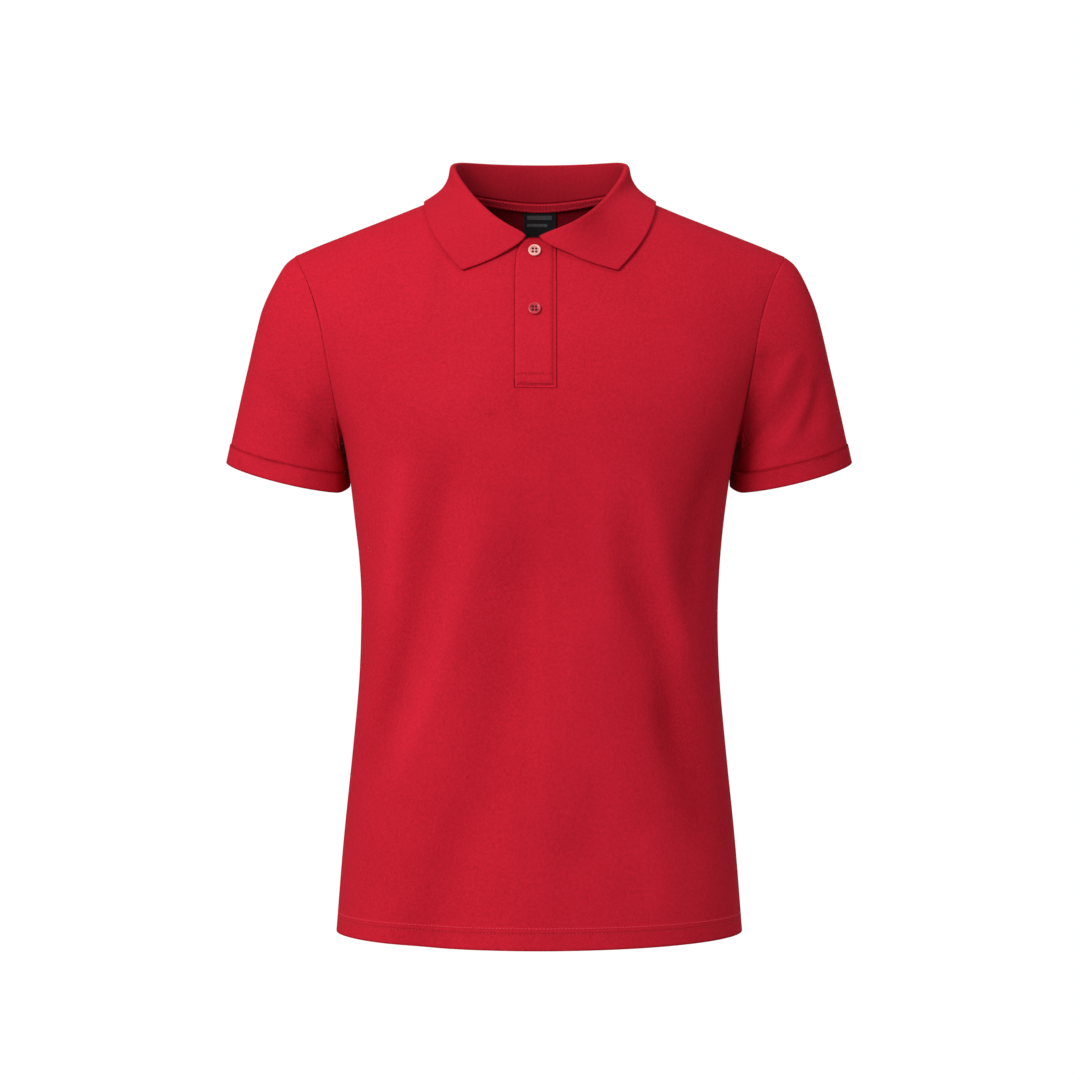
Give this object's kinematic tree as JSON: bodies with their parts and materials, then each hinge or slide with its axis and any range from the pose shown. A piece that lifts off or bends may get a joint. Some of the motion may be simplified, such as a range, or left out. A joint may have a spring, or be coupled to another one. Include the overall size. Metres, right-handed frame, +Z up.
{
  "type": "polo shirt",
  "caption": "Short-sleeved knit polo shirt in its worn shape and hollow, with a fold-over collar, button placket and banded sleeves.",
  "frame": {"origin": "midway between the two high points of the shoulders, where the neck and shoulders carry the shirt", "axes": "+Z up, -Y to the front of the shirt, +X to the wearer's left"},
  "size_m": [0.5928, 0.2432, 0.7357],
  "materials": {
    "pique": "fine cotton pique knit, matt",
    "rib": "flat rib knit, matt",
    "label": "woven satin tape",
    "cream_button": "moulded resin, satin gloss",
    "red_button": "moulded resin, satin gloss"
  },
  "bodies": {
    "root": {"front": "pique", "back": "pique", "sleeve_left": "pique", "sleeve_right": "pique", "placket_upper": "pique", "placket_under": "pique", "cuff_left": "rib", "cuff_right": "rib", "collar": "rib", "neck_tape": "rib", "label": "label", "button_top": "cream_button", "button_lower": "red_button"}
  },
  "joints": []
}
